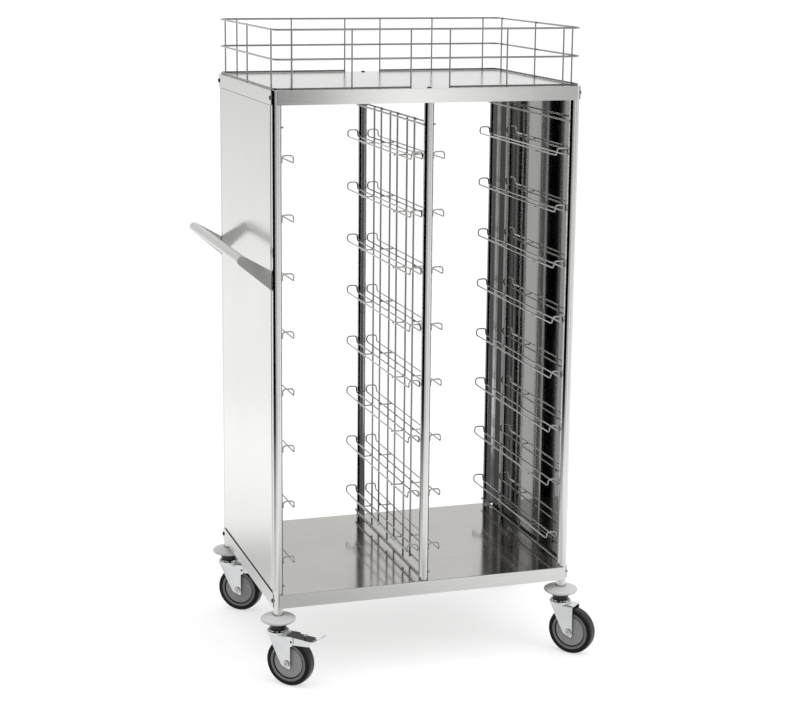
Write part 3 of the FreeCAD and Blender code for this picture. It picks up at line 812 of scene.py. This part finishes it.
forkWork = dict(outer=22.4, sheet=3.0, crownTop=134.0, fold=4.5, lead=-24.0, tail=46.0, tipLow=47.0,
                nose=(21.0, 56.0), ear=54.0, earLow=112.6, earSlope=5.0, earRound=3.5, crownCut=30.6,
                crease=((7.0, 0, 134.0), (27.0, 0, 62.0)), creaseCuts=5, creaseStep=6.0, pull=0.0095,
                tipRound=5.0, cheekFrom=5.0, foldSkew=12.0)
cupProfile = ((23.5, 131.6), (27.6, 131.6), (28.8, 133.4), (28.8, 138.4), (28.2, 139.7), (27.2, 140.0),
              (26.0, 139.6), (25.6, 137.4), (20.5, 136.4), (19.6, 134.6), (6.4, 134.6), (6.4, 131.6))


def forkCheek(bm, y, withBrake):
    w = forkWork
    outline = [w["nose"], (w["lead"], w["crownTop"])]
    if withBrake:
        outline += [(w["crownCut"], w["crownTop"]), (w["ear"], w["crownTop"]), (w["ear"], w["earLow"]),
                    (w["tail"], w["earLow"] - w["earSlope"])]
    else:
        outline += [(w["tail"], w["crownTop"])]
    outline += [(w["tail"], w["tipLow"])]
    return [bm.verts.new((x, y, z)) for x, z in outline]


def crownFold(edge):
    # an edge between the crown and a cheek
    first, last = (v.co for v in edge.verts)
    level = all(abs(co.z - forkWork["crownTop"]) < nearby for co in (first, last))
    along = abs(first.y - last.y) < forkWork["foldSkew"] and abs(first.y) > forkWork["cheekFrom"]
    return level and along and len(edge.link_faces) == 2 and edge.calc_face_angle() > foldFrom


def addFork(corner):
    w = forkWork
    withBrake = corner in braked
    bm = bmesh.new()
    sides = []
    for y in (-w["outer"], w["outer"]):
        verts = forkCheek(bm, y, withBrake)
        bm.faces.new(verts)
        sides.append(verts)
    bm.faces.new([sides[0][1], sides[0][2], sides[1][2], sides[1][1]])
    roundCorners(bm, [v for verts in sides for v in (verts[0], verts[-1])], w["tipRound"], 5)
    if withBrake:
        bm.verts.ensure_lookup_table()
        roundCorners(bm, [v for v in bm.verts if abs(v.co.x - w["ear"]) < nearby], w["earRound"], 4)
    # the nose curves in towards the wheel's plane ahead of a soft crease
    top, low = (Vector(point) for point in w["crease"])
    ahead = (low - top).cross(Vector((0, 1, 0))).normalized()
    if ahead.x > 0:
        ahead = -ahead
    for k in range(w["creaseCuts"]):
        bmesh.ops.bisect_plane(bm, geom=bm.verts[:] + bm.edges[:] + bm.faces[:],
                               plane_co=top + ahead * w["creaseStep"] * k, plane_no=ahead, dist=nearby)
    for v in bm.verts:
        reach = (v.co - top).dot(ahead)
        if reach > 0 and abs(v.co.y) > 1:
            v.co.y -= math.copysign(w["pull"] * reach ** 2, v.co.y)
    bm.normal_update()
    bmesh.ops.recalc_face_normals(bm, faces=bm.faces)
    roundEdges(bm, [e for e in bm.edges if crownFold(e)], w["fold"], 5)
    faceTo(bm, faceHeight, (0, 0, 1))
    thicken(bm, w["sheet"])
    cup = bmesh.new()
    lathe(cup, cupProfile, 56, closed=True)
    stamp(bm, pattern(cup), Matrix.Identity(4))
    addCasterPiece("fork", corner, bm, ("zincPlate",), "caster", "fork", 28)


def layOnAxle(bm):
    # from round the Z axis to the caster's axle
    lay = moveBy(wheelTrail, 0, axleHeight) @ turnBy(-quarter, "X")
    bmesh.ops.transform(bm, matrix=lay, verts=bm.verts)


axleWork = dict(washer=9.4, washerThick=1.2, washerEdge=0.35, nut=7.6, nutThick=2.9, nutEdge=0.5, bolt=4.6,
                boltOut=0.85, boltTaper=0.8, collar=10.6, collarSpan=(14.3, 19.3), collarEdge=0.3, face=22.45)


def drum(radius, low, high, steps, rounding):
    bm = bmesh.new()
    lathe(bm, [(0, low), (radius, low), (radius, high), (0, high)], steps, rounding=rounding, segments=2)
    return bm


def nutShape():
    # washer, nut and the bolt's end
    w = axleWork
    bm = drum(w["washer"], 0, w["washerThick"], 32, w["washerEdge"])
    nut = bmesh.new()
    bmesh.ops.create_cone(nut, cap_ends=True, segments=6, radius1=w["nut"], radius2=w["nut"],
                          depth=w["nutThick"])
    roundEdges(nut, sharpEdges(nut), w["nutEdge"], 2)
    stamp(bm, pattern(nut, 1), moveBy(0, 0, w["washerThick"] + w["nutThick"] / 2))
    rim = w["washerThick"] + w["nutThick"] + w["boltOut"] / 2
    tip = rim + w["boltOut"] / 2
    end = bmesh.new()
    lathe(end, [(0, 0), (w["bolt"], 0), (w["bolt"], rim), (w["bolt"] * w["boltTaper"], tip), (0, tip)], 24)
    stamp(bm, pattern(end), Matrix.Identity(4))
    return pattern(bm)


def addAxle(corner):
    w = axleWork
    bm = bmesh.new()
    nut = nutShape()
    for k in (-1, 1):
        near, far = (k * height for height in w["collarSpan"])
        stamp(bm, pattern(drum(w["collar"], near, far, 24, w["collarEdge"])), Matrix.Identity(4))
        stamp(bm, nut, moveBy(0, 0, k * w["face"]) @ turnBy(0 if k > 0 else math.pi, "X"))
    layOnAxle(bm)
    addCasterPiece("axle", corner, bm, ("boltSteel", "zincPlate"), "caster", "axle_bolt")


def wheelShape(profile, steps):
    # half a section, mirrored about the wheel's middle
    bm = bmesh.new()
    lathe(bm, [*profile, *((r, -y) for r, y in reversed(profile))], steps, closed=True)
    return bm


hubWork = dict(profile=((6.3, -14.0), (12.0, -14.0), (12.8, -13.2), (38.8, -12.6), (39.6, -13.0),
                        (40.2, -12.4), (40.4, -10.5), (41.4, -10.5)),
               groove=40.3, tick=(10.0, 0.9, 0.8), tickEdge=0.2, tickAt=(31.0, 12.75), tickTurn=215)


def addHub(corner):
    w = hubWork
    bm = wheelShape(w["profile"], 72)
    for face in bm.faces:
        face.material_index = 1 if faceRadius(face) > w["groove"] else 0
    tick = blockShape(w["tick"], w["tickEdge"])
    reach, height = w["tickAt"]
    for side in (-1, 1):
        stamp(bm, tick, turnBy(math.radians(w["tickTurn"]), "Z") @ moveBy(reach, 0, side * height))
    layOnAxle(bm)
    addCasterPiece("hub", corner, bm, ("hubPlastic", "tyreRubber"), "wheel", "hub", 25)


tyreWork = dict(profile=((41.5, -10.5), (42.6, -10.5), (42.9, -14.2), (43.6, -15.0), (49.2, -15.6),
                         (50.0, -15.0), (50.8, -15.0), (51.6, -15.8), (55.0, -16.0), (58.0, -15.5),
                         (60.2, -14.1), (61.6, -12.0), (62.3, -9.0), (62.5, -5.0)),
                ring=(42.8, 49.8), tread=59.5)


def addTyre(corner):
    near, far = tyreWork["ring"]
    bm = wheelShape(tyreWork["profile"], 96)
    for face in bm.faces:
        r = faceRadius(face)
        face.material_index = 1 if r > tyreWork["tread"] else 2 if near < r < far else 0
    layOnAxle(bm)
    addCasterPiece("tyre", corner, bm, ("tyreRubber", "treadRubber", "hubRim"), "wheel", "tyre",
                   40)


for corner in corners:
    addFork(corner)
    addAxle(corner)
    addHub(corner)
    addTyre(corner)
print("casters made")

pedalWork = dict(outer=19.0, sheet=1.8, start=31.0, startTop=134.0, startWall=2.2, end=100.0, endTop=129.5,
                 wallEnd=14.0, endRound=5.0, pivot=(49.0, 121.6), earLow=112.6, fold=2.4,
                 slot=((75.2, 78.8), 5.2))


def pedalHeight(x, below=0.0):
    w = pedalWork
    return w["startTop"] - (x - w["start"]) * (w["startTop"] - w["endTop"]) / (w["end"] - w["start"]) - below


def cutSlot(bm, spanX, half):
    planes = [((x, 0, 0), (1, 0, 0)) for x in spanX] + [((0, y, 0), (0, 1, 0)) for y in (-half, half)]
    for co, no in planes:
        near = [f for f in bm.faces if abs(f.normal.z) > levelFrom]
        geom = near + list({e for f in near for e in f.edges}) + list({v for f in near for v in f.verts})
        bmesh.ops.bisect_plane(bm, geom=geom, plane_co=co, plane_no=no, dist=0.001)
    middles = [(f, f.calc_center_median()) for f in bm.faces]
    hole = [f for f, at in middles if spanX[0] < at.x < spanX[1] and abs(at.y) < half]
    bmesh.ops.delete(bm, geom=hole, context="FACES")


def addPedal(corner):
    w = pedalWork
    bm = bmesh.new()
    outline = [(w["start"], w["startTop"]), (w["end"], w["endTop"]), (w["end"], w["endTop"] - w["wallEnd"]),
               (w["pivot"][0], w["earLow"]), (w["start"], w["startTop"] - w["startWall"])]
    sides = []
    for y in (-w["outer"], w["outer"]):
        verts = [bm.verts.new((x, y, z)) for x, z in outline]
        bm.faces.new(verts)
        sides.append(verts)
    bm.faces.new([sides[0][0], sides[0][1], sides[1][1], sides[1][0]])
    roundCorners(bm, [verts[2] for verts in sides], w["endRound"], 4)
    bm.normal_update()
    folds = [e for e in bm.edges if len(e.link_faces) == 2 and e.calc_face_angle() > foldFrom]
    roundEdges(bm, folds, w["fold"], 4)
    cutSlot(bm, *w["slot"])
    faceTo(bm, faceHeight, (0, 0, 1))
    # painted shade: the upward faces take the near-black finish for the shade in the pedal's hollow, the rest
    # zinc
    for face in bm.faces:
        face.material_index = 0 if face.normal.z > 0.5 else 1
    thicken(bm, w["sheet"])
    addCasterPiece("pedal", corner, bm, ("pedalTopShade", "zincPlate"), "pedal", "brake_pedal", 28)


tongueWork = dict(width=22.0, sheet=2.0, start=68.0, bend=106.0, bendRound=2.6, tip=133.0, tipRound=7.0,
                  lug=9.6, lugRise=7.0, lugX=76.0, lugEdge=0.4, lugFold=9.0, foldEdge=0.6)


def addTongue(corner):
    w = tongueWork
    seat = pedalWork["sheet"] + weldGap
    low, high = boxOf("brake_tongue_" + corner)
    bm = bmesh.new()
    line = [(w["start"], low.z), (w["start"], pedalHeight(w["start"], seat)),
            (w["bend"], pedalHeight(w["bend"], seat)), (w["tip"], high.z)]
    pullSheet(bm, [(x, -w["width"] / 2, z) for x, z in line], (0, w["width"], 0))
    roundEdges(bm, [e for e in bm.edges if len(e.link_faces) == 2], w["bendRound"], 4)
    roundCorners(bm, [v for v in bm.verts if abs(v.co.x - w["tip"]) < nearby], w["tipRound"], 5)
    faceTo(bm, faceArea, (0, 0, 1))
    thicken(bm, w["sheet"])
    # a lug through the pedal's slot, its end folded over
    rise = pedalHeight(w["lugX"]) + w["lugRise"]
    foot = pedalHeight(w["lugX"], seat + w["sheet"] / 2)
    lug = blockShape((w["sheet"], w["lug"], rise - foot), w["lugEdge"])
    stamp(bm, lug, moveBy(w["lugX"] + w["sheet"] / 2, 0, (rise + foot) / 2))
    fold = blockShape((w["lugFold"], w["lug"], w["sheet"]), w["foldEdge"], 3)
    stamp(bm, fold, moveBy(w["lugX"] + w["lugFold"] / 2, 0, rise))
    addCasterPiece("tongue", corner, bm, ("leverSteel",), "pedal", "brake_tongue", 28)


pinProfile = ((0, 17.2), (2.4, 17.2), (2.4, 22.0), (3.1, 22.45), (2.9, 22.8), (1.6, 23.0), (0, 23.05))


def addPins(corner):
    pin = bmesh.new()
    lathe(pin, pinProfile, 20)
    shape = pattern(pin)
    x, z = pedalWork["pivot"]
    bm = bmesh.new()
    for turn in (-quarter, quarter):
        stamp(bm, shape, moveBy(x, 0, z) @ turnBy(turn, "X"))
    addCasterPiece("pins", corner, bm, ("oiledStem",), "caster", "pedal_pins")


for corner in braked:
    addPedal(corner)
    addTongue(corner)
    addPins(corner)
print("brakes made")

# lengths of the studio in metres; each of the sheet's shades is a patch of painted shadow seen in
# reflections, given as (x, y, reach, depth)
studio = dict(floorSize=120.0, floorShade=0.6, floorGlow=0.55, sheetTone=(0.8, 0.2),
              sheetShades=((-0.28, -0.9, 0.62, 0.36), (0.15, -0.95, 0.9, 0.22), (-0.55, 0.62, 0.5, 0.34)),
              sheetEnd=(1.3, 3.2), fill=0.85, ceiling=0.55, ceilingFrom=(0.4, 0.75), underSpan=(-0.19, -0.06),
              underGain=(1.39, 1.0), aim=(0, 0, 0.9), key=dict(at=(2.6, -3.2, 3.4), size=2.6, power=45.0),
              top=dict(at=(-0.4, -0.6, 4.4), size=3.2, power=30.0))
white = (1, 1, 1, 1)


def grey(level):
    return (level, level, level, 1)


def joined(tree, kind, *inputs, operation=None, output=0):
    # a shader node with its inputs linked or set in order
    node = tree.nodes.new(kind)
    if operation:
        node.operation = operation
    for socket, value in zip(node.inputs, inputs):
        if isinstance(value, bpy.types.NodeSocket):
            tree.links.new(value, socket)
        else:
            socket.default_value = value
    return node.outputs[output]


def toneRamp(tree, value, stops):
    ramp = tree.nodes.new("ShaderNodeValToRGB")
    marks = ramp.color_ramp.elements
    marks.remove(marks[1])
    marks[0].position = stops[0][0]
    marks[0].color = grey(stops[0][1])
    for place, level in stops[1:]:
        marks.new(place).color = grey(level)
    tree.links.new(value, ramp.inputs["Fac"])
    return ramp.outputs["Color"]


def stagePiece(name, size, finish, place):
    bm = bmesh.new()
    bmesh.ops.create_grid(bm, x_segments=1, y_segments=1, size=1.0)
    bmesh.ops.scale(bm, verts=bm.verts, vec=(size[0] / 2, size[1] / 2, 1))
    bmesh.ops.transform(bm, matrix=place, verts=bm.verts)
    mesh = bpy.data.meshes.new(name)
    bm.to_mesh(mesh)
    bm.free()
    mesh.materials.append(finish)
    piece = bpy.data.objects.new(name, mesh)
    scene.collection.objects.link(piece)
    piece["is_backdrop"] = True
    return piece


def bareFinish(name):
    finish, tree = newFinish(name)
    tree.nodes.remove(tree.nodes["Principled BSDF"])
    return finish, tree, tree.nodes["Material Output"].inputs["Surface"]


def rayKinds(tree):
    # rays that see a thing straight or through glass, and rays that mirror it
    rays = tree.nodes.new("ShaderNodeLightPath").outputs
    seen = joined(tree, "ShaderNodeMath", rays["Is Camera Ray"], rays["Is Transmission Ray"],
                  operation="MAXIMUM")
    return seen, rays["Is Glossy Ray"]


def fromHome(tree):
    coord = tree.nodes.new("ShaderNodeTexCoord").outputs["Object"]
    return joined(tree, "ShaderNodeVectorMath", coord, tuple(home), operation="SUBTRACT")


def addFloor():
    # white where the lens sees it; in reflections a bright sheet, darker towards the trolley and in soft
    # patches of painted shadow, clear further out
    finish, tree, out = bareFinish("studioFloor")
    seen, mirrored = rayKinds(tree)
    matt = joined(tree, "ShaderNodeBsdfDiffuse", grey(studio["floorShade"]))
    strength = joined(tree, "ShaderNodeMath", seen, studio["floorGlow"], operation="MULTIPLY")
    plain = joined(tree, "ShaderNodeAddShader", matt, joined(tree, "ShaderNodeEmission", white, strength))
    spot = fromHome(tree)
    length = joined(tree, "ShaderNodeVectorMath", spot, operation="LENGTH", output="Value")
    # painted shadow: the sheet's tone drops towards the trolley and under each of the shades
    start, byReach = studio["sheetTone"]
    tone = joined(tree, "ShaderNodeMath", length, byReach, start, operation="MULTIPLY_ADD")
    for x, y, reach, depth in studio["sheetShades"]:
        gap = joined(tree, "ShaderNodeVectorMath", spot, (x, y, 0), operation="DISTANCE", output="Value")
        light = joined(tree, "ShaderNodeMath", mapped(tree, gap, (0.0, reach), smooth=True), depth, 1 - depth,
                       operation="MULTIPLY_ADD")
        tone = joined(tree, "ShaderNodeMath", tone, light, operation="MULTIPLY")
    sheet = joined(tree, "ShaderNodeEmission", white, tone)
    away = mapped(tree, length, studio["sheetEnd"], smooth=True)
    clear = joined(tree, "ShaderNodeBsdfTransparent", white)
    faded = joined(tree, "ShaderNodeMixShader", away, sheet, clear)
    tree.links.new(joined(tree, "ShaderNodeMixShader", mirrored, plain, faded), out)
    stagePiece("studio.floor", (studio["floorSize"],) * 2, finish, Matrix.Identity(4))


# the studio in reflections, by bearing: -180 front, -90 left, 0 rear, 90 right
surround = ((-180, 0.78), (-174, 0.52), (-165, 0.4), (-110, 0.4), (-95, 0.46), (-80, 0.7), (-60, 0.8),
            (-30, 0.75), (-17, 0.745), (-5, 0.79), (25, 0.95), (50, 0.85), (90, 0.8), (125, 0.75),
            (145, 0.62), (152, 0.46), (156, 0.48), (157.9, 0.58), (159.8, 0.87), (161.6, 1.15),
            (162.7, 1.08), (163.6, 0.78), (164.6, 0.46), (165.6, 0.2), (167.3, 0.3), (169, 0.75),
            (172, 0.9), (177, 0.85), (180, 0.78))


def addWorld():
    world = bpy.data.worlds.new("studio")
    scene.world = world
    world.use_nodes = True
    tree = world.node_tree
    tree.nodes.remove(tree.nodes["Background"])
    split = tree.nodes.new("ShaderNodeSeparateXYZ")
    tree.links.new(tree.nodes.new("ShaderNodeTexCoord").outputs["Generated"], split.inputs["Vector"])
    bearing = joined(tree, "ShaderNodeMath", split.outputs["X"], split.outputs["Y"], operation="ARCTAN2")
    turn = mapped(tree, bearing, (-math.pi, math.pi))
    tones = toneRamp(tree, turn, [((angle + 180) / 360, level) for angle, level in surround])
    gain = mapped(tree, split.outputs["Z"], studio["underSpan"], studio["underGain"])
    blend = tree.nodes.new("ShaderNodeMix")
    blend.data_type = "RGBA"
    overhead = mapped(tree, split.outputs["Z"], studio["ceilingFrom"], smooth=True)
    tree.links.new(overhead, blend.inputs["Factor"])
    tree.links.new(tones, blend.inputs[6])
    blend.inputs[7].default_value = grey(studio["ceiling"])
    seen, mirrored = rayKinds(tree)
    room = joined(tree, "ShaderNodeBackground", blend.outputs[2], gain)
    fill = joined(tree, "ShaderNodeBackground", white, studio["fill"])
    plain = joined(tree, "ShaderNodeBackground", white, 1.0)
    light = joined(tree, "ShaderNodeMixShader", mirrored, fill, room)
    shown = joined(tree, "ShaderNodeMixShader", seen, light, plain)
    tree.links.new(shown, tree.nodes["World Output"].inputs["Surface"])


# cards that show only in reflections: a banded one behind the right bay, dark ones by the posts
# and light ones under the rear flanges
banner = dict(x=100.0, near=380.0, far=1060.0, high=1392.0, soft=2.7,
              tones=((380, 0.36), (504, 0.06), (525, 0.0), (625, 0.22), (640, 0.0), (650, 0.15), (660, 0.0),
                     (680, 0.46), (793, 0.0), (868, 0.3), (878, 0.0), (895, 0.12), (915, 0.02), (957, 0.36),
                     (1003, 0.05)))
flags = dict(away=20.0, front=22.9, back=-1.0, left=14.0, right=6.0, low=240.0, high=1520.0, rearTone=0.1,
             tones=((240, 0.8), (380, 0.7), (520, 0.4), (660, 0.04), (760, 0.0)),
             posts=("corner_post_front_left", "centre_post_front", "corner_post_front_right",
                    "centre_post_rear", "corner_post_rear_right"))
shelves = dict(near=299.0, below=3.0, tones=((-400, 0.8), (0, 0.95), (400, 0.85)),
               reach=dict(top_deck=400.0, bottom_deck=80.0))
facings = dict(right=turnBy(quarter, "Z") @ turnBy(quarter, "X"),
               back=turnBy(math.pi, "Z") @ turnBy(quarter, "X"), up=Matrix.Identity(4))


def bandStops(tones, soft):
    # turns bands into the two sides of each of their edges
    stops = []
    past = tones[0][1]
    for place, level in tones:
        stops += [(place - soft, past), (place + soft, level)]
        past = level
    return stops


def addCard(name, low, high, faces, axis, tones):
    # spans two opposite corners and is clear from behind; its tones run along one axis
    low = Vector(low)
    high = Vector(high)
    finish, tree, out = bareFinish(name)
    split = tree.nodes.new("ShaderNodeSeparateXYZ")
    tree.links.new(fromHome(tree), split.inputs["Vector"])
    start, end = (getattr(corner, axis.lower()) for corner in (low, high))
    along = mapped(tree, split.outputs[axis], (start * mm, end * mm))
    stops = [(min(1, max(0, (place - start) / (end - start))), level) for place, level in tones]
    glow = joined(tree, "ShaderNodeEmission", toneRamp(tree, along, stops), 1.0)
    clear = joined(tree, "ShaderNodeBsdfTransparent", white)
    behind = tree.nodes.new("ShaderNodeNewGeometry").outputs["Backfacing"]
    tree.links.new(joined(tree, "ShaderNodeMixShader", behind, glow, clear), out)
    span = (high - low) * mm
    size = dict(right=(span.y, span.z), back=(span.x, span.z), up=(span.x, span.y))[faces]
    card = stagePiece(name, size, finish, Matrix.Translation(home + (low + high) / 2 * mm) @ facings[faces])
    card.visible_camera = False
    card.visible_diffuse = False
    card.visible_shadow = False
    card.visible_transmission = False


def addCards():
    x = banner["x"]
    addCard("studio.banner", (x, banner["near"], 0), (x, banner["far"], banner["high"]), "right", "Y",
            bandStops(banner["tones"], banner["soft"]))
    low, high, dim = flags["low"], flags["high"], flags["rearTone"]
    for node in flags["posts"]:
        post = middleOf(node)
        x = post.x - flags["away"]
        tones = flags["tones"] if "front" in node else ((low, 0.0), (high, 0.0))
        addCard("studio.flag." + node, (x, post.y - flags["front"], low), (x, post.y + flags["back"], high),
                "right", "Z", tones)
        if "rear" in node:
            y = post.y - flags["away"]
            left, right = post.x - flags["left"], post.x + flags["right"]
            addCard("studio.shade." + node, (left, y, low), (right, y, high), "back", "Z",
                    ((low, dim), (high, dim)))
    near = shelves["near"]
    for node, reach in shelves["reach"].items():
        deckFrom, deckTo = boxOf(node)
        z = deckFrom.z - shelves["below"]
        addCard("studio.shelf." + node, (deckFrom.x, near, z), (deckTo.x, near + reach, z), "up", "X",
                shelves["tones"])


def addLamp(name, lamp):
    light = bpy.data.lights.new(name, "AREA")
    light.size = lamp["size"]
    light.energy = lamp["power"]
    shine = bpy.data.objects.new(name, light)
    shine.location = Vector(lamp["at"])
    shine.rotation_mode = "QUATERNION"
    shine.rotation_quaternion = (Vector(studio["aim"]) - shine.location).to_track_quat("-Z", "Y")
    shine.visible_camera = False
    shine.visible_glossy = False
    scene.collection.objects.link(shine)


addFloor()
addWorld()
addCards()
addLamp("keyLight", studio["key"])
addLamp("topLight", studio["top"])

# camera fitted to the photograph's straight edges; focus and shifts are in pixels of its width
cameraWork = dict(at=(-1477.14, -4595.45, 1854.93), yaw=0.3136, pitch=-0.2029, roll=0.0094, focus=1856.86,
                  acrossPx=-3.05, upPx=-40.0, widthPx=800, sensor=36.0, clip=500)


def addCamera():
    w = cameraWork
    ahead = Vector((math.sin(w["yaw"]), math.cos(w["yaw"]), 0))
    right = Vector((math.cos(w["yaw"]), -math.sin(w["yaw"]), 0))
    up = Vector((0, 0, 1))
    look = ahead * math.cos(w["pitch"]) + up * math.sin(w["pitch"])
    over = up * math.cos(w["pitch"]) - ahead * math.sin(w["pitch"])
    across = right * math.cos(w["roll"]) + over * math.sin(w["roll"])
    over = over * math.cos(w["roll"]) - right * math.sin(w["roll"])
    data = bpy.data.cameras.new("camera")
    data.sensor_width = w["sensor"]
    data.lens = w["focus"] * w["sensor"] / w["widthPx"]
    data.shift_x = -w["acrossPx"] / w["widthPx"]
    data.shift_y = w["upPx"] / w["widthPx"]
    data.clip_end = w["clip"]
    camera = bpy.data.objects.new("camera", data)
    turn = Matrix((across, over, -look)).transposed().to_4x4()
    camera.matrix_world = Matrix.Translation(home + Vector(w["at"]) * mm) @ turn
    scene.collection.objects.link(camera)
    scene.camera = camera


addCamera()
scene.view_settings.view_transform = "Standard"
print("studio made")

endLow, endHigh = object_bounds()
for name, low, high in (("solids", cadLow, cadHigh), ("dressed", endLow, endHigh)):
    print("size of the", name, [round((b - a) / mm, 2) for a, b in zip(low, high)])
